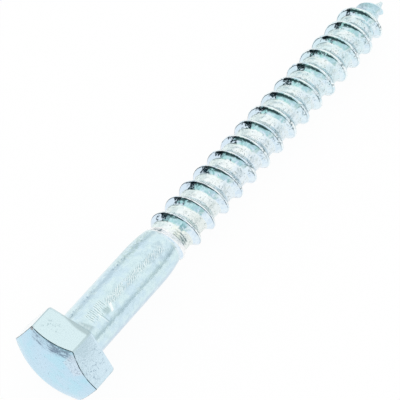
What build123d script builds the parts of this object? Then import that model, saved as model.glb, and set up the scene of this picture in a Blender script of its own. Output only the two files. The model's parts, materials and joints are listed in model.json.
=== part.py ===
from build123d import *
import os
from math import asin, atan2, cos, degrees, hypot, radians, sin, sqrt, tan

# Hexagon head lag screw for wood, nominal size 8 x 80 mm, right-hand thread.
# It is headed, rolled and pointed from one length of wire, so it is one solid.
# Millimetres. The screw is built upright: the bearing face under the head lies in
# the plane Z = 0, the head hangs below it, and the shank and thread rise to +Z.
# At the end it is laid down the way it comes to rest on a flat surface.

# --- driving dimensions -------------------------------------------------------
# Head
across_flats = 12.8            # for a 13 mm spanner
head_height = 5.75             # bearing face to the top of the crown
crown_radius = 51.0            # the end face is slightly domed
chamfer_circle = 5.0           # radius at which the crown turns into the chamfer
chamfer_angle = 27.0           # against the plane of the end face
corner_radius = 0.4            # the six long edges
bearing_edge_radius = 0.6      # the edge round the bearing face

# Shank and core
length = 81.5                  # bearing face to the point
shank_radius = 3.775
neck_flare = 0.4               # small cone between bearing face and shank
shoulder_start = 16.5          # the plain shank starts to draw in here
shoulder_knee = 18.9
shoulder_knee_radius = 3.66
shoulder_end = 20.7
shoulder_end_radius = 3.35
core_start = 21.4              # the threaded core starts here
core_radius = 3.0
point_start = 73.5             # the core turns into the cone of the point
tip_radius = 0.25              # the very end is blunt

# Thread
pitch = 3.6
thread_radius = 3.95
crest_width = 0.24
foot_width = 2.3               # width of the ridge where it enters the core
foot_depth = 0.06              # how far below the core surface the foot lies
flank_knee = 0.42              # share of the ridge's height that its root fillet takes
thread_start = 18.2            # height at which the ridge starts, inside the shank
start_angle = 294.7            # about +Z, counted from the flat that it lies on
run_in_turns = 1.5             # the ridge grows to full height over these turns
crest_taper_start = 74.9       # from here the crest follows the point
crest_radius_at_tip = 0.5
run_out_turns = 0.4            # at the point the ridge sinks back into the core
thread_end = 80.2
level_turns = (2, 8, 15)       # the ridge is lofted in four stretches that meet here
sections_per_turn = 9


def make_head():
    """A hexagon with worn edges, cut by the crown and its chamfer."""
    corner = across_flats / 2 / cos(radians(30))
    hexagon = Rot(0, 0, 30) * RegularPolygon(corner, 6)
    hexagon = fillet(hexagon.vertices(), corner_radius)
    block = extrude(hexagon, -head_height)
    bearing_edge = block.faces().sort_by(Axis.Z)[-1].edges()
    block = fillet(bearing_edge, bearing_edge_radius)

    def crown_depth(radius):
        return crown_radius - sqrt(crown_radius**2 - radius**2)

    rim = corner + 1
    circle_depth = crown_depth(chamfer_circle)
    rim_depth = circle_depth + (rim - chamfer_circle) * tan(radians(chamfer_angle))
    top = (0, -head_height)
    middle = (chamfer_circle / 2, -head_height + crown_depth(chamfer_circle / 2))
    circle = (chamfer_circle, -head_height + circle_depth)
    outline = ThreePointArc(top, middle, circle)
    outline += Polyline(circle, (rim, -head_height + rim_depth), (rim, 1), (0, 1), top)
    envelope = revolve(Plane.XZ * make_face(outline), Axis.Z)
    return block & envelope


def cone_slope():
    """How fast the core's radius falls along the point."""
    return core_radius / (length - point_start)


def core_radius_at(height):
    """Radius of the threaded core, a cylinder that ends in a cone."""
    return min(core_radius, cone_slope() * (length - height))


def make_rod():
    """Neck flare, plain shank, drawn-in shoulder, threaded core and point."""
    blunt = length - tip_radius / cone_slope()
    outline = Polyline(
        (0, -1),
        (shank_radius + neck_flare, -1),
        (shank_radius + neck_flare, 0),
        (shank_radius, neck_flare),
        (shank_radius, shoulder_start),
        (shoulder_knee_radius, shoulder_knee),
        (shoulder_end_radius, shoulder_end),
        (core_radius, core_start),
        (core_radius, point_start),
        (tip_radius, blunt),
        (0, blunt + tip_radius / 2),
        (0, -1),
    )
    return revolve(Plane.XZ * make_face(outline), Axis.Z)


def crest_radius_at(height, turn, last_turn):
    """Radius of the crest: it grows in, stays level, follows the point and sinks in."""
    core = core_radius_at(height)
    full = thread_radius
    if height > crest_taper_start:
        along = (height - crest_taper_start) / (length - crest_taper_start)
        full = thread_radius + (crest_radius_at_tip - thread_radius) * along
    grown_in = min(1, turn / run_in_turns)
    still_out = min(1, (last_turn - turn) / run_out_turns)
    buried = core + foot_depth
    if still_out < 1:
        buried = core - foot_depth / 2
    return buried + (full - buried) * min(grown_in, still_out)


def thread_section(turn, last_turn):
    """The ridge cut by the half plane through the axis, turn turns after its start."""
    height = thread_start + pitch * turn
    angle = radians(start_angle + 360 * turn)
    outward = Vector(cos(angle), sin(angle), 0)
    half_plane = Plane((0, 0, height), x_dir=outward, z_dir=(sin(angle), -cos(angle), 0))

    slender = core_radius_at(height) / core_radius
    half_foot = foot_width / 2 * (0.4 + 0.6 * slender)
    half_crest = crest_width / 2
    crest = crest_radius_at(height, turn, last_turn)

    def flank(side):
        foot = core_radius_at(height + side * half_foot) - foot_depth
        knee = foot + (crest - foot) * flank_knee
        knee_out = half_crest + (half_foot - half_crest) * flank_knee
        root = (0.75 * foot, side * half_foot)
        return root, (foot, side * half_foot), (knee, side * knee_out), (crest, side * half_crest)

    root_low, foot_low, knee_low, crest_low = flank(-1)
    root_high, foot_high, knee_high, crest_high = flank(1)
    low_side = (root_low, foot_low, knee_low, crest_low)
    high_side = (crest_high, knee_high, foot_high, root_high)
    return half_plane * make_face(Polyline(*low_side, *high_side, root_low))


def make_thread():
    """Four lofts that share their end sections: run-in, two of level thread, and point."""
    last_turn = (thread_end - thread_start) / pitch
    marks = (0, *level_turns, last_turn)
    stretches = []
    for first, last in zip(marks, marks[1:]):
        count = round((last - first) * sections_per_turn)
        turns = [first + (last - first) * step / count for step in range(count + 1)]
        stretches.append(loft([thread_section(turn, last_turn) for turn in turns]))
    return stretches


def lay_down(screw):
    """Lie on one flat of the head and on the last full crest, as it comes to rest."""
    down_turn = (360 - start_angle) / 360
    first_low = thread_start + pitch * down_turn
    crests = int((crest_taper_start - first_low) / pitch)
    last_low = first_low + pitch * crests + crest_width / 2
    reach = last_low + bearing_edge_radius
    drop = across_flats / 2 - bearing_edge_radius - thread_radius
    tilt = degrees(atan2(drop, reach) + asin(bearing_edge_radius / hypot(drop, reach)))
    laid = Rot(0, 90 + tilt, 0) * screw
    box = laid.bounding_box()
    print("tilt", round(tilt, 4), "bearing face centre", -box.center().X, -box.center().Y, -box.min.Z)
    return Pos(-box.center().X, -box.center().Y, -box.min.Z) * laid


os.makedirs("parts", exist_ok=True)
lag_screw = make_rod()
for stretch in make_thread():
    lag_screw = lag_screw + stretch
    print("volume with thread", round(lag_screw.volume, 2))
lag_screw = lay_down(lag_screw + make_head())
print("volume", round(lag_screw.volume, 2), "valid", lag_screw.is_valid)
export_step(lag_screw, "parts/lag_screw.step")
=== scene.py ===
# %% [markdown]
# # A zinc-plated lag screw, lying on a pale table
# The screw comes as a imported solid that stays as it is. This lesson dresses it: one smooth,
# finely divided skin takes the place of the faceted solid, and a bright zinc finish with all
# its small scratches goes over it. The skin is modelled in millimetres and laid down in
# metres, and `mm` is one thousandth of a metre.

# %% Load the fixed frame
import json
from functools import partial
from math import asin, atan2, cos, degrees, hypot, pi, radians, sin, sqrt, tan

import bmesh
import bpy
from mathutils import Matrix, Quaternion, Vector

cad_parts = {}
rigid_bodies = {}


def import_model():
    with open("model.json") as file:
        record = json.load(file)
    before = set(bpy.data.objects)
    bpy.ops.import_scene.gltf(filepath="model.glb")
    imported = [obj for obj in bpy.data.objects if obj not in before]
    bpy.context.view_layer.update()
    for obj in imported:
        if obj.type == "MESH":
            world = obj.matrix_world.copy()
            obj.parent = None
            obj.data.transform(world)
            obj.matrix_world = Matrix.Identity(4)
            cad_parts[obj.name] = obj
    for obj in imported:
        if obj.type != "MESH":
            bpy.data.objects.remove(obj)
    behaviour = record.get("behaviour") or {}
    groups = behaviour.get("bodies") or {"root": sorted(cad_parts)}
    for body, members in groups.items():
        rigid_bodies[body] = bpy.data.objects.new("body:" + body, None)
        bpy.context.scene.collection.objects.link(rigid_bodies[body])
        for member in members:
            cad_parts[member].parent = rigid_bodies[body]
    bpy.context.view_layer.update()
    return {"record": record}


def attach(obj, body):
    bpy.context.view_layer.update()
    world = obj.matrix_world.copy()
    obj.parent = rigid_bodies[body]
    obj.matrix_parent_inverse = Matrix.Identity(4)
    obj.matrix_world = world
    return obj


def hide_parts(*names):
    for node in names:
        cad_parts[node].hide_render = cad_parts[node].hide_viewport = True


for leftover in list(bpy.data.objects):
    bpy.data.objects.remove(leftover)
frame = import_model()
mm = 0.001

# %% [markdown]
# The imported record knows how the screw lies. The mount under the head gives the direction
# from head to point and the plane of the bearing face. Everything is modelled upright,
# bearing face at height zero and point up, and one matrix lays the finished mesh down.
# Angles run about the screw from the flat that it lies on, so the upper flat is at 180.

# %% Find the screw's own upright frame
mounts = {mount["name"]: mount for mount in frame["record"]["mounts"]}
under_head = mounts["under_head"]
axis = Vector(under_head["axis"]).normalized()
bearing_centre = Vector((under_head["pos_m"][0], 0, under_head["pos_m"][2]))
sideways = Vector((0, 1, 0))
downward = sideways.cross(axis)
lay_down = Matrix((downward, sideways, axis)).transposed().to_4x4()
lay_down.translation = bearing_centre
tilt = degrees(asin(-axis.z))
print("the screw's axis dips by", round(tilt, 2), "degrees")


# %% [markdown]
# Operators act on whatever is selected, and loading leaves the solid selected. These small
# helpers keep that in hand: select only the thing at work, open its mesh with nothing
# selected, apply a modifier at once, and tidy a mesh after a rough step.

# %% Helpers for working by operator
merge_distance = 0.0004


def select_only(*objects):
    """Deselect everything, then select these; the first one becomes the active object."""
    bpy.ops.object.select_all(action="DESELECT")
    for thing in objects:
        thing.select_set(True)
    bpy.context.view_layer.objects.active = objects[0]


def open_mesh(thing, action="DESELECT"):
    """Go to edit mode, ready to work on edges, with nothing selected or with everything."""
    select_only(thing)
    bpy.ops.object.mode_set(mode="EDIT")
    bpy.ops.mesh.select_mode(type="EDGE")
    bpy.ops.mesh.select_all(action=action)


def close_mesh():
    """Go back to object mode."""
    bpy.ops.object.mode_set(mode="OBJECT")


def apply_modifier(thing, kind, **settings):
    """Add a modifier with these settings and apply it."""
    select_only(thing)
    modifier = thing.modifiers.new(kind.title(), kind)
    for name, value in settings.items():
        setattr(modifier, name, value)
    bpy.ops.object.modifier_apply(modifier=modifier.name)


def clean_up(thing):
    """Merge doubles and turn all faces outward."""
    open_mesh(thing, "SELECT")
    bpy.ops.mesh.remove_doubles(threshold=merge_distance)
    bpy.ops.mesh.normals_make_consistent(inside=False)
    close_mesh()


print("helpers for selecting, modifiers and clean meshes")


# %% [markdown]
# Everything round on this screw starts as half an outline, drawn beside the axis and wound
# about it. The outline is a plane merged to one vertex, which is then extruded from point
# to point, and the Screw modifier winds it: once round for a turned shape, or round and
# upward for a helix.

# %% Helpers for outlines and winding
def outline_object(name, points):
    """A chain of edges through points in the XZ half plane, extruded vertex by vertex."""
    bpy.ops.object.select_all(action="DESELECT")
    bpy.ops.mesh.primitive_plane_add(size=1, location=(0, 0, 0))
    chain = bpy.context.active_object
    chain.name = name
    bpy.ops.object.mode_set(mode="EDIT")
    bpy.ops.mesh.select_mode(type="VERT")
    bpy.ops.mesh.merge(type="CENTER")
    radius, height = points[0]
    bpy.ops.transform.translate(value=(radius, 0, height))
    for (radius, height), (next_radius, next_height) in zip(points, points[1:]):
        step = (next_radius - radius, 0, next_height - height)
        bpy.ops.mesh.extrude_region_move(TRANSFORM_OT_translate={"value": step})
    close_mesh()
    return chain


def wind(outline, steps, **settings):
    """Wind an outline about the upright axis with the Screw modifier."""
    apply_modifier(
        outline, "SCREW", axis="Z", angle=2 * pi, steps=steps, render_steps=steps, **settings
    )
    clean_up(outline)


def turn_round(outline, steps):
    """Wind an outline once round and close it, as a lathe turns a shape."""
    wind(outline, steps, screw_offset=0, use_merge_vertices=True, merge_threshold=0.0001)


print("helpers for outlines and winding")

# %% [markdown]
# **The rod.** A lag screw is headed, rolled and pointed from one length of wire. The usual way
# to model a thread is the Screw modifier: the profile of one pitch is wound up the axis. The
# profile here is a straight line one pitch long, with its points close together where
# the crest will be. Wound up, it gives a plain tube whose rows of vertices already follow the
# helix, so the crest gets a clean row of its own all the way.

# %% Driving dimensions of the rod
length = 81.5
shank_radius = 3.775
shoulder_start = 16.5
shoulder_end = 20.7
shoulder_end_radius = 3.35
core_start = 21.4
core_radius = 3.0
point_start = 73.5
tip_radius = 0.25
pitch = 3.6
thread_radius = 3.95
half_crest = 0.12
half_foot = 1.15
flank_hollow = 1.2
thread_start = 18.2
start_angle = radians(294.7)
run_in_turns = 1.5
crest_taper_start = 74.9
crest_radius_at_tip = 0.5
run_out_turns = 0.4
thread_end = 80.2
last_turn = (thread_end - thread_start) / pitch
cone_slope = core_radius / (length - point_start)
print("the thread makes", round(last_turn, 1), "turns")

# %% Wind a straight line into a tube along the helix
steps_per_turn = 96
rows_beside_crest = (
    0.045, 0.08, 0.105, 0.13, 0.17, 0.23, 0.31, 0.41, 0.53, 0.67, 0.82, 0.97, 1.12, 1.27, 1.5,
)
rows = [-row for row in reversed(rows_beside_crest)] + [0] + list(rows_beside_crest)
rows = [-pitch / 2] + rows + [pitch / 2]
turns_below = 6
turns_above = int((length - thread_start) / pitch) + 1
base = thread_start - turns_below * pitch
rod = outline_object("lag_screw_skin", [(shank_radius, base + row) for row in rows])
rod.rotation_euler = (0, 0, start_angle)
select_only(rod)
bpy.ops.object.transform_apply(rotation=True)
wind(
    rod, steps_per_turn, screw_offset=pitch, iterations=turns_below + turns_above,
    use_merge_vertices=False, use_smooth_shade=True,
)
print("tube:", len(rod.data.vertices), "vertices")


# %% [markdown]
# Now the tube is pressed to its true form. At each vertex there are two radii: that of the
# turned rod, and that of the ridge. The turned rod is a plain shank, a shoulder that draws
# in to the core, and a point.

# %% The turned rod
def blend(share):
    """Ease from 0 to 1."""
    share = min(1, max(0, share))
    return share * share * (3 - 2 * share)


def core_radius_at(height):
    """The level core, then the point's cone, which would end at the full length."""
    return min(core_radius, cone_slope * (length - height))


def rod_radius(height):
    """Plain shank, drawn-in shoulder, core and point."""
    if height > core_start:
        return max(core_radius_at(height), tip_radius)
    if height > shoulder_end:
        share = blend((height - shoulder_end) / (core_start - shoulder_end))
        return shoulder_end_radius + (core_radius - shoulder_end_radius) * share
    share = max(0, (height - shoulder_start) / (shoulder_end - shoulder_start))
    return shank_radius - (shank_radius - shoulder_end_radius) * share**2


print("shoulder, mm:", [round(rod_radius(step), 3) for step in (17, 18, 19, 20, 21)])


# %% [markdown]
# The ridge's section has a narrow crest and hollow flanks that run out into the core,
# because the thread is rolled and not cut. The larger of the two radii wins, with a soft
# change between them, so that the ridge grows out of the shoulder by itself.

# %% The rolled ridge
slenderest_foot = 0.4
foot_softness = 0.05


def ridge_rise(height, turn):
    """How far the crest stands out of the core."""
    core = core_radius_at(height)
    full = thread_radius
    if height > crest_taper_start:
        along = (height - crest_taper_start) / (length - crest_taper_start)
        full = thread_radius + (crest_radius_at_tip - thread_radius) * along
    grown_in = min(1, turn / run_in_turns)
    still_out = min(1, (last_turn - turn) / run_out_turns)
    return (full - core) * max(0, min(grown_in, still_out))


def flank_shape(offset, height):
    """1 on the crest, hollow down the flanks, 0 at the foot."""
    core_share = max(0, core_radius_at(height)) / core_radius
    foot = half_foot * (slenderest_foot + (1 - slenderest_foot) * core_share)
    distance = max(0, abs(offset) - half_crest)
    share = max(0, 1 - distance / (foot - half_crest))
    return share**flank_hollow


def larger(first, second, softness):
    """The larger of two radii, with a rounded change between them."""
    gap = max(0, softness - abs(first - second)) / softness
    return max(first, second) + gap * gap * softness / 4


def skin_radius(height, turn, offset):
    """The rod, and the ridge on it between the thread's two ends."""
    if turn <= 0 or turn >= last_turn:
        return rod_radius(height)
    ridge = core_radius_at(height) + ridge_rise(height, turn) * flank_shape(offset, height)
    return larger(rod_radius(height), ridge, foot_softness)


print("ridge at mid thread, mm:", round(skin_radius(50, 8, 0) - skin_radius(50, 8, 1.8), 3))

# %% [markdown]
# Each vertex finds the crest nearest to it, counts the turns up to there and takes its
# radius. Rolled crests are never quite even, so a small wave of three lengths, a few
# hundredths of a millimetre, runs along them. Three numbers stay with every vertex for the
# finish to read: how far it is from the crest, on which side, and how far the ridge has grown.

# %% Press the tube
wobble_size = 0.012


def rolling_wobble(turn):
    """The small wave along the crest, in millimetres."""
    phase = 2 * pi * turn
    wave = sin(phase * 2.7) + 0.7 * sin(phase * 6.3 + 1) + 0.5 * sin(phase * 11.9 + 2)
    return wobble_size * wave


def store(thing, name, values):
    """Keep one number for each vertex, for the finish to read."""
    attribute = thing.data.attributes.new(name, "FLOAT", "POINT")
    attribute.data.foreach_set("value", values)


from_crest, head_side, grown = [], [], []
for vertex in rod.data.vertices:
    x, y, height = vertex.co
    angle = atan2(y, x) - start_angle
    climb = (height - thread_start) / pitch - angle / (2 * pi)
    nearest = round(climb)
    turn = nearest + angle / (2 * pi)
    offset = (climb - nearest) * pitch
    radius = skin_radius(height, turn, offset)
    radius += rolling_wobble(turn) * flank_shape(offset, height) * min(1, max(0, turn))
    scale = radius / hypot(x, y)
    vertex.co = (x * scale, y * scale, height)
    from_crest.append(abs(offset))
    head_side.append(float(offset < half_crest / 2))
    grown.append(ridge_rise(height, turn) / (thread_radius - core_radius))
store(rod, "from_crest", from_crest)
store(rod, "head_side", head_side)
store(rod, "grown", grown)
widest = max(hypot(vertex.co.x, vertex.co.y) for vertex in rod.data.vertices)
print("thread pressed, crest at", round(widest, 3), "mm")

# %% [markdown]
# The tube runs on past both ends. One cut squares it off inside the head, the other leaves
# the small blunt end of the point. `bisect` can close the cut with a face at the same time.

# %% Trim the rod
neck_top = 1.5
overlap = 0.4
tip_length = 0.15
cone_end = length - tip_radius / cone_slope


def trim(thing, height, keep_above, close):
    """Cut with a level plane, drop one side and close the cut or leave it open."""
    open_mesh(thing, "SELECT")
    bpy.ops.mesh.bisect(
        plane_co=(0, 0, height), plane_no=(0, 0, 1), use_fill=close,
        clear_inner=keep_above, clear_outer=not keep_above, threshold=0.0001,
    )
    close_mesh()


trim(rod, neck_top + overlap, keep_above=True, close=False)
trim(rod, cone_end + tip_length, keep_above=False, close=True)
clean_up(rod)
print("rod length, mm:", round(rod.dimensions.z, 2), "faces:", len(rod.data.polygons))

# %% [markdown]
# **The head** is a hexagon that was cold-forged in a die: its six long edges are a little
# round, and so is the edge round the bearing face. A six-sided cylinder gives the prism. The
# Bevel modifier rounds its edges by their bevel weights: the bearing edge in full and the
# long edges by less. It is made a little too tall, because the crown is cut into it later.

# %% The hexagon
across_flats = 12.8
head_height = 5.75
corner_radius = 0.4
bearing_edge_radius = 0.6
spare_height = 1
across_corners = across_flats / cos(radians(30))
rough_height = head_height + spare_height


def select_edges(thing, wanted):
    """Select, ready for edit mode, the edges whose two ends pass the test."""
    open_mesh(thing)
    close_mesh()
    corners = thing.data.vertices
    for edge in thing.data.edges:
        edge.select = wanted(*(corners[index].co for index in edge.vertices))
    bpy.ops.object.mode_set(mode="EDIT")


bpy.ops.object.select_all(action="DESELECT")
bpy.ops.mesh.primitive_cylinder_add(
    vertices=6, radius=across_corners / 2, depth=rough_height, location=(0, 0, -rough_height / 2),
)
head = bpy.context.active_object
head.name = "hexagon"
bpy.ops.object.transform_apply(location=True)
select_edges(head, lambda one, other: abs(one.z - other.z) > 1)
bpy.ops.transform.edge_bevelweight(value=corner_radius * tan(radians(30)) / bearing_edge_radius)
close_mesh()
select_edges(head, lambda one, other: one.z > -0.001 and other.z > -0.001)
bpy.ops.transform.edge_bevelweight(value=1)
close_mesh()
apply_modifier(
    head, "BEVEL", limit_method="WEIGHT", width=bearing_edge_radius, segments=6, profile=0.5
)
print("hexagon, mm:", [round(side, 2) for side in head.dimensions])

# %% [markdown]
# **The neck.** Where the head was upset from the wire, a small fillet is left between bearing
# face and shank. It could be a bevel after the two are joined, but a turned outline with the
# quarter circle already in it is surer. A Boolean joins it to the hexagon.

# %% The neck
neck_fillet = 0.5
fillet_steps = 8
foot_radius = shank_radius + neck_fillet


def combine(thing, operation, other):
    """Join a body to another, or keep what they have in common; the other is used up."""
    apply_modifier(thing, "BOOLEAN", operation=operation, solver="EXACT", object=other)
    bpy.data.objects.remove(other)


neck_outline = [(0, -1), (foot_radius, -1)]
for step in range(fillet_steps + 1):
    turned = radians(90) * step / fillet_steps
    neck_outline.append((
        foot_radius - neck_fillet * sin(turned), neck_fillet - neck_fillet * cos(turned),
    ))
neck_outline += [(shank_radius, neck_top + 1), (0, neck_top + 1)]
neck = outline_object("neck", neck_outline)
turn_round(neck, steps_per_turn)
combine(head, "UNION", neck)
print("head with its neck, faces:", len(head.data.polygons))

# %% [markdown]
# **The crown** is turned: a slight dome that eases into a chamfer. Its outline is wound round
# the axis into a second body, and the Boolean keeps what it and the hexagon have in common.
# That draws the scalloped line between flats and chamfer exactly as a lathe would.

# %% The crown
crown_radius = 51.0
chamfer_circle = 5.0
chamfer_angle = radians(27)
chamfer_softness = 0.35
rings = 30
rings_end = 6.25
rim_radius = across_corners / 2 + 1


def crown_depth(radius):
    """How far the dome has fallen at this distance from the axis."""
    return crown_radius - sqrt(crown_radius**2 - radius**2)


def crown_height(radius):
    """Height of the turned end: a dome that eases into the chamfer."""
    dome = crown_depth(radius)
    chamfer = crown_depth(chamfer_circle) + (radius - chamfer_circle) * tan(chamfer_angle)
    return -head_height + larger(dome, chamfer, chamfer_softness)


ring_radii = [rings_end * ring / rings for ring in range(rings + 1)] + [rim_radius]
crown_outline = [(radius, crown_height(radius)) for radius in ring_radii]
crown_outline += [(rim_radius, neck_top + 2), (0, neck_top + 2)]
crown = outline_object("crown", crown_outline)
turn_round(crown, 2 * steps_per_turn)
combine(head, "INTERSECT", crown)
trim(head, neck_top, keep_above=False, close=False)
print("head faces:", len(head.data.polygons))

# %% [markdown]
# The line between crown and flats is sharp on a new screw and soon worn a little. A fine
# bevel breaks it, and its new faces are marked, so that the finish can darken them. These
# edges are found by their angle and not by their place, because the line swings up and down.

# %% Break the edge between crown and flats
edge_break = 0.07
sharp = radians(35)
open_mesh(head)
shape = bmesh.from_edit_mesh(head.data)
for edge in shape.edges:
    middle = (edge.verts[0].co + edge.verts[1].co) / 2
    if len(edge.link_faces) == 2 and middle.z < -head_height / 2:
        edge.select = edge.calc_face_angle() > sharp
shape.select_flush_mode()
bmesh.update_edit_mesh(head.data)
bpy.ops.mesh.bevel(offset=edge_break, segments=2, profile=0.5)
close_mesh()
worn = head.data.attributes.new("worn_edge", "FLOAT", "FACE")
worn.data.foreach_set("value", [float(face.select) for face in head.data.polygons])
print("worn edge faces:", sum(face.select for face in head.data.polygons))

# %% [markdown]
# Rod and head are two open shells that end a little apart on the same shank. Joined into
# one object, their two open loops are bridged with a ring of faces, and the skin is closed.

# %% Join head and rod
select_only(rod, head)
bpy.ops.object.join()
open_mesh(rod)
bpy.ops.mesh.select_non_manifold(
    extend=False, use_boundary=True, use_wire=False, use_multi_face=False
)
bpy.ops.mesh.bridge_edge_loops()
close_mesh()
clean_up(rod)
print("screw faces:", len(rod.data.polygons), "vertices:", len(rod.data.vertices))

# %% [markdown]
# The matrix from the start now lays the screw on its side and turns millimetres into metres,
# and applying it puts the place into the mesh. The skin stands for the imported solid, which
# is hidden, and moves with its body.

# %% Lay the screw down
smooth_below = radians(32)
rod.matrix_world = lay_down @ Matrix.Scale(mm, 4)
select_only(rod)
bpy.ops.object.transform_apply(location=True, rotation=True, scale=True)
bpy.ops.object.shade_smooth_by_angle(angle=smooth_below)
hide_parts("lag_screw")
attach(rod, "root")
print("lying screw, mm:", [round(side / mm, 2) for side in rod.dimensions])


# %% [markdown]
# A material is a tree of nodes, and a finish with many marks needs some hundreds of them.
# Laid by hand they are hard to follow, so a few helpers make them: a node with its inputs,
# one sum, a soft step and the product of several shares. Each input takes a plain value or
# the output of another node.

# %% Helpers for building node trees
def set_input(tree, socket, value):
    """Link another node's output to this input, or give it a plain number or colour."""
    if isinstance(value, bpy.types.NodeSocket):
        tree.links.new(value, socket)
    elif socket.type == "RGBA":
        socket.default_value = (*value, 1)
    else:
        socket.default_value = value


def add_node(tree, kind, sockets=(), **settings):
    """Add a node; `sockets` gives a value or another node's output for each named input."""
    node = tree.nodes.new("ShaderNode" + kind)
    for name, value in settings.items():
        setattr(node, name, value)
    for name, value in dict(sockets).items():
        set_input(tree, node.inputs[name], value)
    return node


def calculate(tree, operation, first, second=0.0, third=0.0):
    """One Math node."""
    sockets = {0: first, 1: second, 2: third}
    return add_node(tree, "Math", sockets, operation=operation).outputs[0]


def eased(tree, value, low, high):
    """0 below low, 1 above high, a smooth change between; low above high turns it round."""
    sockets = {"Value": value, "From Min": low, "From Max": high}
    node = add_node(tree, "MapRange", sockets, interpolation_type="SMOOTHSTEP")
    return node.outputs["Result"]


def all_of(tree, *shares):
    """The product of several shares; a plain number among them sets how strong it is."""
    product = shares[0]
    for share in shares[1:]:
        product = calculate(tree, "MULTIPLY", product, share)
    return product


print("helpers for node trees")


# %% [markdown]
# A share is a number from 0 to 1 that says how much of something there is at each point.
# With it one colour is laid over another, or one number eases into another, and a noise is
# what makes a share look natural and not ruled.

# %% Helpers for mixing and for noise
def mix_colours(tree, share, under, over):
    """Lay `over` on `under` by a share of 0 to 1."""
    node = add_node(tree, "Mix", data_type="RGBA")
    colour_inputs = [socket for socket in node.inputs if socket.type == "RGBA"]
    for socket, value in zip((node.inputs[0], *colour_inputs), (share, under, over)):
        set_input(tree, socket, value)
    return next(socket for socket in node.outputs if socket.type == "RGBA")


def mix_numbers(tree, share, under, over):
    """`under` where the share is 0, `over` where it is 1."""
    span = calculate(tree, "SUBTRACT", over, under)
    return calculate(tree, "MULTIPLY_ADD", share, span, under)


def noise(tree, place, scale, detail=2.0, roughness=0.5):
    """A cloudy pattern between 0 and 1; a larger scale makes it finer."""
    sockets = {"Vector": place, "Scale": scale, "Detail": detail, "Roughness": roughness}
    return add_node(tree, "TexNoise", sockets).outputs["Fac"]


print("helpers for mixing and for noise")

# %% [markdown]
# **Where on the screw?** The finish is one material. It reads the object coordinates, turns
# them back upright and measures height along the screw, distance from its axis and angle
# round it, all in millimetres and degrees. All its nodes go into one tree, so the helpers
# are tied to that tree once, under short names: `maths` is `calculate`, `ease` is `eased`,
# `every` is `all_of`, `between` is `mix_numbers`, `linear` is a value times a slope plus a
# start, and `clouds` is noise in upright place.

# %% The finish: place on the screw
zinc = bpy.data.materials.new("blue_zinc_plate")
zinc.use_nodes = True
tree = zinc.node_tree
shader = tree.nodes["Principled BSDF"]
maths, ease = partial(calculate, tree), partial(eased, tree)
every, between = partial(all_of, tree), partial(mix_numbers, tree)
linear = partial(maths, "MULTIPLY_ADD")
to_upright = lay_down.inverted()
texture_place = add_node(tree, "TexCoord")
upright = add_node(tree, "Mapping", {
    "Vector": texture_place.outputs["Object"],
    "Location": to_upright.translation / mm,
    "Rotation": to_upright.to_euler(),
    "Scale": (1 / mm, 1 / mm, 1 / mm),
}).outputs["Vector"]
upright_normal = add_node(tree, "Mapping", {
    "Vector": texture_place.outputs["Normal"], "Rotation": to_upright.to_euler(),
}, vector_type="NORMAL").outputs["Vector"]
clouds = partial(noise, tree, upright)
x, y, height = add_node(tree, "SeparateXYZ", {"Vector": upright}).outputs
facing_up = add_node(tree, "SeparateXYZ", {"Vector": upright_normal}).outputs["Z"]
y_squared = maths("MULTIPLY", y, y)
radius = maths("SQRT", maths("MULTIPLY_ADD", x, x, y_squared))
angle = maths("MULTIPLY", maths("ARCTAN2", y, x), 180 / pi)
angle = maths("WRAP", angle, 360.0, 0.0)
print("the finish reads its place in millimetres on the upright screw")


# %% [markdown]
# From these come soft shares, 1 on one part of the screw and 0 elsewhere, and each colour or
# mark is multiplied by the share of its place. The thread's parts come from the numbers that
# were stored when the tube was pressed: a flank is the ridge's side towards the head, and
# the root is the rest.

# %% The finish: parts of the screw
def band(value, low, high, edge):
    """1 between low and high, fading over edge on both sides."""
    return every(ease(value, low - edge, low), ease(value, high + edge, high))


def arc(low, high, edge):
    """A band of angles round the screw."""
    return band(angle, low, high, edge)


def rest_of(share):
    """1 where the share is 0, and the other way round."""
    return maths("SUBTRACT", 1.0, share)


def kept(name):
    """A number that was stored with the mesh."""
    return add_node(tree, "Attribute", attribute_name=name).outputs["Fac"]


thread_shows = 20.3
from_crest, head_side, grown = kept("from_crest"), kept("head_side"), kept("grown")
on_head = ease(height, 0.06, 0.0)
end_face = every(on_head, ease(facing_up, -0.35, -0.6))
flats = every(on_head, rest_of(end_face))
on_shank = every(rest_of(on_head), ease(height, shoulder_end, thread_shows))
on_thread = ease(height, thread_shows, 20.9)
flank = every(on_thread, head_side, ease(from_crest, 1.0, 0.85), ease(grown, 0.1, 0.3))
root = every(on_thread, rest_of(flank))
before_point = ease(height, 76.9, 76.2)
upper_turns = ease(height, 28, 38)
print("nodes for the parts:", len(tree.nodes))


# %% [markdown]
# **Marks.** Bright plating shows every touch: short strokes where it rubbed against other
# screws in the box, specks, and thin wandering lines where the blue passivation has crazed.
# Each kind is one noise: cut off high for specks, read near its middle value for wandering
# lines, and squeezed in one direction for strokes. Even rows of scratches are a sine wave,
# bent by a noise so that no two are alike.

# %% The finish: kinds of mark
def specks(scale, low, high):
    """Spots where a noise is high; low and high set how many there are and how soft."""
    return ease(clouds(scale, 3.0, 0.6), low, high)


def wandering_lines(scale, width):
    """Thin lines along the middle value of a noise."""
    off_middle = maths("SUBTRACT", clouds(scale, 2.0, 0.5), 0.5)
    return ease(maths("ABSOLUTE", off_middle), width, width / 3)


def strokes(scale, low, high):
    """Streaks across the end face, along y."""
    squeezed = add_node(tree, "CombineXYZ", {
        "X": x, "Y": maths("MULTIPLY", y, 0.2),
    }).outputs["Vector"]
    return ease(noise(tree, squeezed, scale, 2.0, 0.5), low, high)


bright_marks_and_highlight = (0.95, 1.0, 1.0)
dark = (0.16, 0.24, 0.26)
slate_grime_and_reflection = (0.04, 0.07, 0.08)
print("specks, wandering lines and strokes, and three paints that many marks share")
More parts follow.
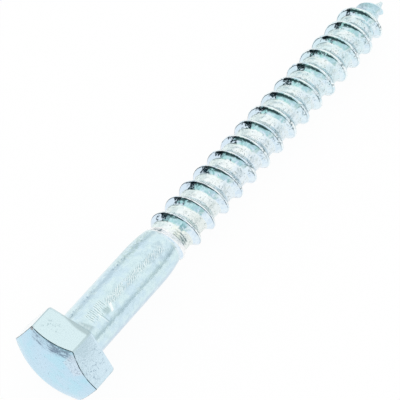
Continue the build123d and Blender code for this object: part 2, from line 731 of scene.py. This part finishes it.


# %% [markdown]
# ** Ground colours.** Blue passivated zinc is nearly white with a cold cast. The end face's
# deeper blue is painted reflection of the shaded table that it faces, and each flat has a tint
# of its own that is painted reflection of what it faces: the upper flat pale, the next one
# bluer and the side flat nearly white. The shank is paler and greener. The dip in the bath
# never colours evenly, so clouds of two tints cover each part.
# From here on every tint and every mark is one more layer of paint over the last.

# %% The finish: ground colours of shank and head
def lay(paint, *shares):
    """Lay a paint over the last layer, where all these shares meet."""
    layers.append(mix_colours(tree, every(*shares), layers[-1], paint))


shank_blue, shank_green = (0.64, 0.81, 0.90), (0.69, 0.86, 0.89)
end_cyan, end_blue, end_violet = (0.50, 0.77, 0.90), (0.54, 0.76, 0.90), (0.56, 0.76, 0.90)
upper_flat_reflected_tint, second_flat_reflected_blue = (0.70, 0.86, 0.89), (0.68, 0.84, 0.93)
side_flat_reflected_white = (0.94, 0.98, 0.99)
layers = [shank_blue]
lay(shank_green, ease(clouds(0.45, 3.0, 0.6), 0.38, 0.6))
# Painted reflection: each flat gets its own tint by its angle round the head.
lay(upper_flat_reflected_tint, flats, arc(150, 210, 1))
lay(second_flat_reflected_blue, flats, arc(212, 270, 1))
lay(side_flat_reflected_white, flats, arc(92, 149, 1))
end_cloud = clouds(0.35, 2.0, 0.5)
end_reflected_colour = mix_colours(tree, ease(end_cloud, 0.40, 0.52), end_cyan, end_blue)
end_reflected_colour = mix_colours(tree, ease(end_cloud, 0.52, 0.66), end_reflected_colour, end_violet)
# Painted reflection: the end face's deeper blue stands for the shaded table it faces.
lay(end_reflected_colour, end_face)
print("shank and head have their ground colours")

# %% [markdown]
# The rolled thread is the brightest. Its roots turn from mint on one side to cream near the
# shoulder and pale blue further up, with ragged borders: the angle is bent by a noise before
# it is compared. A fine mottle of dark and light then covers the whole screw.

# %% The finish: ground colours of the thread
flank_white, root_white = (0.70, 0.83, 0.94), (0.93, 0.99, 0.99)
root_mint, root_cream, root_pale_blue = (0.78, 0.91, 0.89), (0.76, 0.82, 0.77), (0.78, 0.88, 0.95)
point_cyan, mottle_grey = (0.66, 0.87, 0.90), (0.38, 0.50, 0.55)
lay(flank_white, flank)
lay(root_white, root)
ragged = linear(clouds(0.9, 4.0, 0.65), 60.0, angle)
lay(root_mint, root, ease(ragged, 205, 190), 0.7)
first_turns = ease(height, 36, 28)
lay(root_cream, root, ease(ragged, 232, 246), first_turns, 0.45)
later_turns = ease(height, 27, 36)
lay(root_pale_blue, root, ease(ragged, 230, 244), later_turns, 0.8)
towards_point = ease(height, 38, 64)
lay(point_cyan, on_thread, towards_point, specks(0.6, 0.30, 0.56), 0.55)
lay(root_cream, root, specks(1.4, 0.54, 0.60), 0.45)
mottle = clouds(5.0, 4.0, 0.65)
lay(mottle_grey, ease(mottle, 0.5, 0.75), 0.30)
lay(bright_marks_and_highlight, ease(mottle, 0.48, 0.25), 0.25)
print("the thread has its ground colours")

# %% [markdown]
# ** The crests.** Rolling squeezes the metal up between the dies, and the crest is where the
# two sides meet. A fine dark line runs on each side of the crest, a rolling seam with painted
# dark reflection in it, and the bright edge between them is a painted highlight. Towards the
# point the crest has rolled over a little, so there edge and seam lie nearer to the head.

# %% The finish: seams and bright edges of the crests
clear_of_shoulder = ease(height, 22.3, 22.8)
full_ridge = every(on_thread, ease(grown, 0.25, 0.4), clear_of_shoulder, before_point)
rolled_over = every(head_side, ease(height, 26, 52), 0.14)
past_edge = maths("SUBTRACT", from_crest, rolled_over)
seam_place = linear(clouds(1.3, 3.0, 0.6), 0.10, past_edge)
extra_width = between(upper_turns, 0.05, 0.12)
seam_end = linear(arc(150, 200, 12), extra_width, 0.225)
inside_end = ease(maths("SUBTRACT", seam_place, seam_end), 0.02, 0.0)
seam_and_dark_reflection = every(ease(seam_place, 0.14, 0.16), inside_end)
seam_strength = ease(clouds(0.9), 0.25, 0.5)
seam_fade_round = between(ease(angle, 246, 276), 1.0, 0.25)
# Painted dark reflection along the crest, with the rolling seam in it; it fades round the screw.
lay(slate_grime_and_reflection, full_ridge, seam_and_dark_reflection, seam_strength, seam_fade_round)
# Painted highlight on the crest's edge.
edge = ease(past_edge, 0.11, 0.09)
lay(bright_marks_and_highlight, full_ridge, edge, specks(0.7, 0.42, 0.54), 0.85)
print("crests have their seams and bright edges")

# %% [markdown]
# ** The flanks.** The flank under each crest carries a painted dark reflection on its upper
# side: a crumbled patch that carries on the black card's reflection and narrows to a wedge
# along the seam. Further round come crumbs of dark, a grey-green patch that is painted
# reflection where the green sickle ends, and pale lights, and a fine line marks the foot
# where the flank meets the root.

# %% The finish: marks on the flanks
sage_reflection, flank_light = (0.46, 0.64, 0.60), (0.84, 0.94, 0.98)
crumbs = every(full_ridge, ease(from_crest, 1.0, 0.5), arc(224, 254, 8))
lay(dark, crumbs, upper_turns, specks(3.0, 0.52, 0.57), 0.85)
# Painted reflection: the ragged grey-green end of the green card's sickle.
green_reflection_end = every(flank, band(from_crest, 0.3, 0.9, 0.1), arc(217, 227, 3))
lay(sage_reflection, green_reflection_end, specks(0.8, 0.40, 0.52), 0.6)
lay(flank_light, flank, arc(226, 300, 10), specks(0.9, 0.46, 0.56), 0.6)
foot_line = every(on_thread, head_side, band(from_crest, 0.93, 1.02, 0.05))
lay(dark, foot_line, arc(118, 156, 6), specks(1.5, 0.36, 0.5), 0.7)
wedge_shift = maths("MULTIPLY", ease(height, 28, 42), 15.0)
wedge_angle = maths("SUBTRACT", angle, wedge_shift)
narrowing = between(ease(angle, 168, 204), 0.0, 0.12)
wedge_depth = maths("ADD", past_edge, narrowing)
# Painted reflection: the black card's dark patch carried on as a wedge under the crest.
dark_reflection_wedge = every(
    flank, ease(wedge_depth, 0.58, 0.36), ease(past_edge, 0.0, 0.08),
    ease(angle, 142, 156), ease(wedge_angle, 196, 182),
)
lay(slate_grime_and_reflection, dark_reflection_wedge, specks(2.4, 0.42, 0.50), before_point, 0.9)
print("flanks marked")

# %% [markdown]
# **The roots** carry single dark specks, and more of them right behind the crests.

# %% The finish: specks in the roots
lay(dark, root, specks(3.2, 0.62, 0.67), 0.7)
behind_crest = every(root, rest_of(head_side), arc(190, 240, 10))
lay(dark, behind_crest, specks(4.5, 0.58, 0.63), 0.8)
print("roots specked")

# %% [markdown]
# ** The shoulder's lip** carries a painted highlight, a band of pure white. It follows the
# first turn, so its height grows with the angle. A dark line and a few spots lie on it, and
# dark rolling streaks and a pale yellow tint right behind it. A little further on, one
# larger spot lies in the root of the first turn.

# %% The finish: the shoulder's lip
lip_highlight_white, lip_grey, yellow_tint = (1.0, 1.0, 1.0), (0.45, 0.56, 0.56), (0.95, 1.0, 0.88)
spot_teal = (0.22, 0.42, 0.46)
lip_height = linear(angle, 0.0060, 20.02)
past_lip = maths("SUBTRACT", height, lip_height)
lay(dark, band(past_lip, -0.12, 0.0, 0.05), arc(110, 186, 10), 0.8)
# Painted highlight: the lip's band is pure white.
lip_highlight = band(past_lip, -0.25, 0.75, 0.08)
lay(lip_highlight_white, lip_highlight)
behind_lip = every(band(past_lip, 0.75, 1.7, 0.12), arc(208, 250, 8))
lay(lip_grey, behind_lip, specks(1.5, 0.36, 0.52), 0.6)
streaks = maths("MULTIPLY", clouds(1.6, 3.0), 9.0)
streaks = maths("SINE", linear(past_lip, 14.0, streaks))
streaks = every(behind_lip, ease(streaks, -0.3, 0.3))
lay(dark, streaks, specks(2.6, 0.38, 0.46), 0.9)
tinted = every(band(past_lip, 0.9, 2.2, 0.3), arc(190, 224, 8))
lay(yellow_tint, tinted, specks(1.3, 0.44, 0.54), 0.5)
lip_spots = every(band(past_lip, -0.1, 0.6, 0.1), arc(148, 172, 8))
lay(dark, lip_spots, specks(2.6, 0.46, 0.54), 0.8)
first_spot = every(on_thread, band(height, 23.4, 24.0, 0.2), arc(207, 217, 4))
lay(spot_teal, first_spot, specks(2.0, 0.32, 0.46), 0.75)
print("lip wiped and streaked")

# %% [markdown]
# **The long rub.** Another screw slid along the shank and left one long rub: fine dark and
# light specks, crazed lines, and slanted scratches like a coarse file's. It drifts round the
# shank on its way, so its angle grows with the height. The scratches are a sine of height
# and place round the shank, and a noise added inside the sine bends them.

# %% The finish: the long rub
rub_dark, rub_grey = (0.28, 0.43, 0.46), (0.30, 0.45, 0.48)
rub_angle = linear(height, 0.68, 193.8)
off_rub = maths("ABSOLUTE", maths("SUBTRACT", angle, rub_angle))
rub = every(on_shank, ease(off_rub, 13.0, 5.0), band(height, 6.5, 18.5, 1.0))
rub_density = specks(0.7, 0.30, 0.50)
lay(rub_dark, rub, specks(3.5, 0.50, 0.56), rub_density, 0.45)
lay(rub_grey, rub, wandering_lines(3.2, 0.05), rub_density, 0.4)
lay(bright_marks_and_highlight, rub, specks(3.9, 0.52, 0.58), 0.45)
around = maths("MULTIPLY", angle, shank_radius * pi / 180)
slanted = linear(height, 14.0, maths("MULTIPLY", around, 15.0))
slanted = maths("SINE", linear(clouds(1.5), 9.0, slanted))
hatched = every(rub, rub_density, specks(2.0, 0.40, 0.50))
lay(rub_grey, hatched, ease(slanted, 0.1, 0.7), 0.6)
lay(bright_marks_and_highlight, hatched, ease(slanted, -0.1, -0.7), 0.6)
print("long rub laid")

# %% [markdown]
# **Near the head** is a patch of cross strokes, where the screw lay against another one.
# Beside it are a white spot, a dull patch, a long white stroke with a dark one next to it,
# and one bright nick where the plating was struck.

# %% The finish: cross strokes and nick
stroke_dark, stroke_white, dull_grey = (0.32, 0.46, 0.47), (0.90, 1.0, 1.0), (0.42, 0.56, 0.57)
crossed = every(on_shank, band(height, 2.7, 5.9, 0.3), arc(184, 207, 5))
crossed = every(crossed, specks(1.9, 0.40, 0.50))
level = maths("SINE", linear(height, 20.0, maths("MULTIPLY", clouds(1.2), 8.0)))
lay(stroke_dark, crossed, ease(level, 0.1, 0.7), 0.75)
lay(stroke_white, crossed, ease(level, -0.1, -0.7), 0.8)
white_spot = every(on_shank, band(height, 3.8, 4.1, 0.15), arc(202, 208, 3))
lay(stroke_white, white_spot, specks(2.5, 0.35, 0.5))
along_stroke = linear(angle, -0.012, height)
white_line = every(band(along_stroke, 1.58, 1.68, 0.05), arc(208, 228, 4))
lay(stroke_white, on_shank, white_line, 0.65)
dark_line = every(band(along_stroke, 1.80, 1.90, 0.05), arc(210, 228, 3))
lay(stroke_dark, on_shank, dark_line, 0.6)
dull_patch = every(on_shank, band(height, 5.1, 5.8, 0.4), arc(205, 214, 5))
lay(dull_grey, dull_patch, specks(2.2, 0.36, 0.5), 0.7)
nick_height = linear(angle, -0.035, 13.75)
off_nick = maths("ABSOLUTE", maths("SUBTRACT", height, nick_height))
lay(bright_marks_and_highlight, on_shank, ease(off_nick, 0.30, 0.16), arc(204, 219, 2))
print("cross strokes and nick laid")

# %% [markdown]
# ** The rest of the shank.** A second, finer rub runs along one side, and thin crazed lines
# cross the whole shank. Beside the head a painted shade darkens the shank where the head
# shades it. The shoulder is mottled and patchy, and one side has a painted bluer shade.

# %% The finish: sides, neck and shoulder
side_dark, side_light, side_shade_blue = (0.30, 0.42, 0.50), (0.85, 1.0, 1.0), (0.52, 0.65, 0.77)
crazed_grey, neck_shade_grey = (0.38, 0.52, 0.56), (0.40, 0.52, 0.54)
shoulder_green, shoulder_blue = (0.48, 0.64, 0.60), (0.48, 0.62, 0.70)
patch_dark, patch_light = (0.50, 0.66, 0.72), (0.78, 0.92, 0.93)
side_rub = every(on_shank, arc(144, 155, 5), specks(0.5, 0.35, 0.55))
lay(side_dark, side_rub, specks(3.0, 0.52, 0.58), 0.8)
lay(side_light, side_rub, specks(3.3, 0.46, 0.40), 0.7)
lay(crazed_grey, on_shank, wandering_lines(1.7, 0.02), specks(0.8, 0.5, 0.6), 0.3)
# Painted shade on the shank just beside the head.
neck_place = linear(angle, -0.028, height)
neck_shade = every(on_shank, ease(neck_place, -3.50, -3.90))
lay(neck_shade_grey, neck_shade, arc(186, 209, 10), 0.7)
mottled_shoulder = every(on_shank, band(height, 14.0, 19.5, 1.5), arc(128, 162, 8))
lay(shoulder_green, mottled_shoulder, specks(2.6, 0.46, 0.56), 0.6)
patchy_shoulder = every(on_shank, band(height, 16.5, 19.8, 1.0), arc(192, 232, 10))
lay(shoulder_blue, patchy_shoulder, specks(0.8, 0.46, 0.58), 0.55)
# Painted shade: one side of the shank is darker and bluer.
lay(side_shade_blue, on_shank, arc(274, 330, 12), 0.8)
soft_patches = clouds(1.1, 3.0, 0.6)
lay(patch_dark, on_shank, ease(soft_patches, 0.52, 0.66), 0.35)
lay(patch_light, on_shank, ease(soft_patches, 0.46, 0.32), 0.5)
print("shank marks laid")

# %% [markdown]
# **The end face.** Wrenches and other screws scuff the chamfer next to the upper flat. The
# scuff has a heart of dense strokes, a pale wash round it, and short teeth along the edge.
# Lighter scratches run along the chamfer of the next flat, and specks are all over.

# %% The finish: scuffs on the end face
scuff_grey, scuff_ink, tooth_ink = (0.44, 0.58, 0.68), (0.17, 0.24, 0.33), (0.20, 0.28, 0.36)
scuff_speck, end_speck = (0.30, 0.40, 0.50), (0.22, 0.34, 0.45)
scratch_pale, scratch_ink = (0.74, 0.80, 0.88), (0.30, 0.38, 0.48)
scuffed = every(end_face, arc(152, 224, 6), ease(x, -4.7, -5.2), ease(radius, 7.0, 6.7))
lay(scuff_grey, scuffed, specks(0.9, 0.36, 0.5), 0.45)
heart = every(end_face, arc(186, 208, 7), ease(x, -5.0, -5.3))
heart = every(heart, strokes(3.2, 0.42, 0.50), specks(1.4, 0.36, 0.46))
lay(scuff_ink, heart, specks(4.2, 0.36, 0.48), 0.8)
teeth = every(end_face, arc(183, 206, 4), ease(x, -5.7, -5.95))
lay(tooth_ink, teeth, specks(2.8, 0.44, 0.52), 0.7)
lay(scuff_ink, scuffed, strokes(3.6, 0.54, 0.60), specks(1.1, 0.42, 0.52), 0.8)
lay(scuff_speck, scuffed, specks(4.0, 0.54, 0.6), 0.5)
scratched = every(end_face, arc(214, 240, 5), band(radius, 5.2, 6.8, 0.5))
lay(scratch_pale, scratched, 0.5)
lay(scratch_ink, scratched, specks(3.6, 0.53, 0.6), 0.55)
lay(end_speck, end_face, specks(2.4, 0.64, 0.70), 0.6)
print("end face scuffed")

# %% [markdown]
# ** Flats and edges.** The lower flat is crazed and the upper one has a few dashes. The round
# rim of the bearing face carries a painted shade, the corners are rubbed, and one of them
# has a brown spot. The worn edge between crown and flats holds a fine dark line of grime.

# %% The finish: flats and edges of the head
crazing_blue, dash_grey, rim_shade_grey = (0.26, 0.37, 0.47), (0.35, 0.48, 0.52), (0.43, 0.55, 0.57)
spot_brown, corner_grey = (0.30, 0.28, 0.27), (0.34, 0.46, 0.50)
crazing = every(flats, arc(228, 262, 5), wandering_lines(1.3, 0.018))
lay(crazing_blue, crazing, specks(0.7, 0.40, 0.50), 0.75)
upper_flat = every(flats, arc(154, 206, 4))
dashes = every(upper_flat, band(height, -3.3, -1.8, 0.3), band(y, -0.2, 2.6, 0.4))
lay(dash_grey, dashes, specks(2.2, 0.56, 0.62), 0.5)
# Painted shade along the bearing face's rounded rim.
rim_start = linear(ease(angle, 160, 200), 0.75, height)
rim_shade = every(flats, arc(150, 209, 2), ease(rim_start, -0.42, -0.02))
lay(rim_shade_grey, rim_shade, 0.85)
corner_spot = every(on_head, arc(148, 152, 1), ease(radius, 6.8, 7.0))
lay(spot_brown, corner_spot, ease(height, -4.0, -4.4), 0.8)
from_corner = maths("SUBTRACT", maths("PINGPONG", angle, 30.0), 30.0)
from_corner = maths("ABSOLUTE", from_corner)
corner_line = every(flats, ease(from_corner, 1.6, 0.6), specks(0.9, 0.3, 0.5))
lay(corner_grey, corner_line, 0.5)
grime = ease(clouds(1.2), 0.25, 0.5)
lay(slate_grime_and_reflection, kept("worn_edge"), grime)
tree.links.new(layers[-1], shader.inputs["Base Color"])
print("head marks laid, layers in all:", len(layers))

# %% [markdown]
# ** Gloss and grain.** Zinc is a metal all over, so what changes is its roughness: the rolled
# flanks are like mirrors, the roots and the head are softer, and the shoulder's lip under its
# painted highlight and the point are dull. Three bumps follow one another, each through the
# last one's normal: a fine grain, shallow dents, and the facets that rolling leaves on the thread.

# %% The finish: gloss and grain
roughness = between(on_thread, 0.12, 0.10)
roughness = between(on_head, roughness, 0.24)
roughness = between(root, roughness, 0.28)
roughness = between(every(lip_highlight, rest_of(on_head)), roughness, 0.45)
roughness = between(ease(height, 76.2, 76.9), roughness, 0.5)
tree.links.new(roughness, shader.inputs["Roughness"])
shader.inputs["Metallic"].default_value = 1.0
grain = add_node(tree, "Bump", {"Height": mottle, "Strength": 0.5, "Distance": 0.02 * mm})
dents = add_node(tree, "Bump", {
    "Height": clouds(1.6, 3.0, 0.55), "Strength": 0.6, "Distance": 0.07 * mm,
    "Normal": grain.outputs["Normal"],
})
facet_depth = between(ease(from_crest, 0.3, 0.8), 0.15 * mm, 0.30 * mm)
facets = add_node(tree, "Bump", {
    "Height": clouds(1.1, 1.0, 0.4), "Strength": every(on_thread, 0.95),
    "Distance": facet_depth, "Normal": dents.outputs["Normal"],
})
tree.links.new(facets.outputs["Normal"], shader.inputs["Normal"])
rod.data.materials.clear()
rod.data.materials.append(zinc)
print("nodes in the finish:", len(tree.nodes))

# %% [markdown]
# **The table** is one large plane. It has to look white and still hold the screw's soft
# shadow. Its material is nearly all white light for rays from the camera, for those that
# bounce off metal and for those through glass, and plain pale paint for the rest.

# %% Table
white_share = 0.94
bpy.ops.object.select_all(action="DESELECT")
bpy.ops.mesh.primitive_plane_add(size=3, location=(0, 0, 0))
floor = bpy.context.active_object
floor.name = "table_top"
table = bpy.data.materials.new("white_table")
table.use_nodes = True
table_tree = table.node_tree
matt = table_tree.nodes["Principled BSDF"]
matt.inputs["Base Color"].default_value = (0.98, 0.98, 0.98, 1)
matt.inputs["Roughness"].default_value = 0.9
rays = add_node(table_tree, "LightPath").outputs
seen = calculate(table_tree, "MAXIMUM", rays["Is Camera Ray"], rays["Is Glossy Ray"])
seen = calculate(table_tree, "MAXIMUM", seen, rays["Is Transmission Ray"])
white = add_node(table_tree, "Emission", {"Color": (1, 1, 1), "Strength": 1.0})
surface = add_node(table_tree, "MixShader", {
    0: calculate(table_tree, "MULTIPLY", seen, white_share),
    1: matt.outputs[0],
    2: white.outputs[0],
})
output = table_tree.nodes["Material Output"]
table_tree.links.new(surface.outputs[0], output.inputs["Surface"])
floor.data.materials.append(table)
print("table, m:", [round(side, 1) for side in floor.dimensions])

# %% [markdown]
# **The camera** looks down on the screw from the head's side, through a long lens, so that
# head and point are nearly to the same scale. It is aimed by azimuth and elevation and then
# rolled a little about the direction in which it looks.

# %% Camera
camera_position = Vector((-131.12, -100.70, 227.82)) * mm
look_azimuth = radians(39.08)
look_elevation = radians(-54.203)
camera_roll = radians(3.83)
looking = Vector((
    cos(look_elevation) * cos(look_azimuth),
    cos(look_elevation) * sin(look_azimuth),
    sin(look_elevation),
))
bpy.ops.object.camera_add(location=camera_position)
camera = bpy.context.active_object
camera.data.lens = 163.64
camera.data.sensor_width = 36
camera.rotation_mode = "QUATERNION"
camera.rotation_quaternion = Quaternion(looking, camera_roll) @ looking.to_track_quat("-Z", "Y")
camera.data.clip_end = 20
bpy.context.scene.camera = camera
print("field of view, degrees:", round(degrees(camera.data.angle), 2))

# %% [markdown]
# **Light.** A polished thing shows what stands round it. The sky is an even pale dome, and
# cards stand far out on the table, as they would in a studio. Two grey ones draw the soft
# bands on the shank and a low dark strip draws the thin line inside the right band. A black
# one draws the dark patch on every turn of the thread, and a wide green one beside it draws
# the green sickle. They show in the metal, but the camera doesn't see them.

# %% World
bpy.context.scene.view_settings.view_transform = "Standard"
world = bpy.data.worlds.new("studio")
bpy.context.scene.world = world
world.use_nodes = True
sky_tree = world.node_tree
direction = add_node(sky_tree, "TexCoord").outputs["Generated"]
rising = add_node(sky_tree, "SeparateXYZ", {"Vector": direction}).outputs["Z"]
horizon, zenith = (0.98, 0.99, 1.0), (1.0, 1.0, 1.0)
sky = mix_colours(sky_tree, eased(sky_tree, rising, 0.0, 0.85), horizon, zenith)
sky_tree.links.new(sky, sky_tree.nodes["Background"].inputs["Color"])
print("sky set")


# %% [markdown]
# A card is a strip of one big cylinder about the screw, so its place is an azimuth and its
# width an angle. A tube is added whole, and the faces too far from the card's middle go.

# %% The shape of a card
card_distance = 1.2
spare_width = 8


def bent_strip(name, middle, half_width, tall):
    """A strip of the cylinder, standing on the table; azimuths in degrees."""
    bpy.ops.object.select_all(action="DESELECT")
    bpy.ops.mesh.primitive_cylinder_add(
        vertices=180, radius=card_distance, depth=tall, location=(0, 0, tall / 2),
        end_fill_type="NOTHING",
    )
    strip = bpy.context.active_object
    strip.name = name
    bpy.ops.object.transform_apply(location=True)
    open_mesh(strip)
    close_mesh()
    ahead = Vector((cos(radians(middle)), sin(radians(middle)), 0))
    for face in strip.data.polygons:
        outward = Vector((face.center.x, face.center.y, 0))
        face.select = outward.angle(ahead) > radians(half_width + spare_width)
    bpy.ops.object.mode_set(mode="EDIT")
    bpy.ops.mesh.select_mode(type="FACE")
    bpy.ops.mesh.delete(type="FACE")
    close_mesh()
    return strip


print("cards stand", card_distance, "m from the screw")


# %% [markdown]
# A hard-edged card would draw hard lines in the metal, so its paint fades to clear on all
# sides. The material turns each place on the card into degrees across and degrees up, takes
# its colour from a ramp across the width, and glows by the share that is covered.

# %% The paint of a card
def in_degrees(tree, arc):
    """Radians to degrees."""
    return calculate(tree, "MULTIPLY", arc, 180 / pi)


def card_paint(name, middle, half_width, bottom, top, strength, colours, fade):
    """A glowing paint with soft borders; `colours` go by share of the card's width."""
    paint = bpy.data.materials.new(name)
    paint.use_nodes = True
    tree = paint.node_tree
    tree.nodes.remove(tree.nodes["Principled BSDF"])
    place = add_node(tree, "TexCoord").outputs["Object"]
    turned = add_node(tree, "VectorRotate", {
        "Vector": place, "Angle": -radians(middle),
    }, rotation_type="Z_AXIS").outputs["Vector"]
    ahead, aside, up = add_node(tree, "SeparateXYZ", {"Vector": turned}).outputs
    across = in_degrees(tree, calculate(tree, "ARCTAN2", aside, ahead))
    slope = calculate(tree, "DIVIDE", up, card_distance)
    upward = in_degrees(tree, calculate(tree, "ARCTANGENT", slope))
    ramp = add_node(tree, "ValToRGB", {
        "Fac": calculate(tree, "MULTIPLY_ADD", across, 0.5 / half_width, 0.5),
    })
    stops = ramp.color_ramp.elements
    while len(stops) < len(colours):
        stops.new(0.5)
    for stop, (share, tint) in zip(stops, colours):
        stop.position = share
        stop.color = (*tint, 1)
    off_middle = calculate(tree, "ABSOLUTE", across)
    covered = all_of(
        tree, eased(tree, off_middle, half_width + 6, half_width - 2),
        eased(tree, upward, top + fade - 1, top - 2), eased(tree, upward, bottom - 3, bottom + 1),
    )
    glow = add_node(tree, "Emission", {"Color": ramp.outputs["Color"], "Strength": 1.0})
    clear = add_node(tree, "BsdfTransparent")
    mixed = add_node(tree, "MixShader", {
        0: calculate(tree, "MULTIPLY", covered, strength), 1: clear.outputs[0], 2: glow.outputs[0],
    })
    tree.links.new(mixed.outputs[0], tree.nodes["Material Output"].inputs["Surface"])
    return paint


print("card paint ready")

# %% [markdown]
# Each card gets the azimuth of its middle, half its width, the heights between which it is
# full, how strong it is, and its colours. The grey ones are half clear and so only tint
# the sky, and the green one changes its colour across its width, as a crumpled foil would.

# %% Stand the cards
left_grey = (0.40, 0.46, 0.51)
right_grey = (0.42, 0.50, 0.50)
black, dark_green = (0.01, 0.03, 0.04), (0.10, 0.26, 0.27)
greens = [
    (0.0, (0.38, 0.62, 0.59)), (0.10, (0.56, 0.84, 0.76)), (0.28, (0.62, 0.88, 0.80)),
    (0.42, (0.84, 0.98, 0.94)), (0.54, (0.62, 0.84, 0.78)), (0.70, (0.56, 0.77, 0.73)),
    (0.84, (0.62, 0.77, 0.77)), (1.0, (0.74, 0.84, 0.88)),
]


def card(name, middle, half_width, bottom, top, strength, colours, fade=8):
    """A bent card on the table. Azimuths and heights in degrees, colours by share of width."""
    strip = bent_strip(name, middle, half_width, card_distance * tan(radians(top + fade)))
    paint = card_paint(name, middle, half_width, bottom, top, strength, colours, fade)
    strip.data.materials.append(paint)
    strip.visible_camera = False
    strip.visible_shadow = False
    strip.visible_diffuse = False
    return strip


cards = [
    card("left_grey_card", 62, 30, 5, 24, 0.34, [(0, left_grey), (1, left_grey)]),
    card("right_grey_card", -64, 30, 0, 3, 0.62, [(0, right_grey), (1, right_grey)], fade=24),
    card("right_dark_strip", -56, 20, 0, 2, 0.5, [(0, black), (1, black)], fade=3),
    card("green_card", 186, 43, 4, 44, 1.0, greens, fade=18),
    card("black_card", 136, 15, 0, 36, 1.0, [(0, black), (0.85, black), (1, dark_green)]),
]
print("cards:", len(cards))
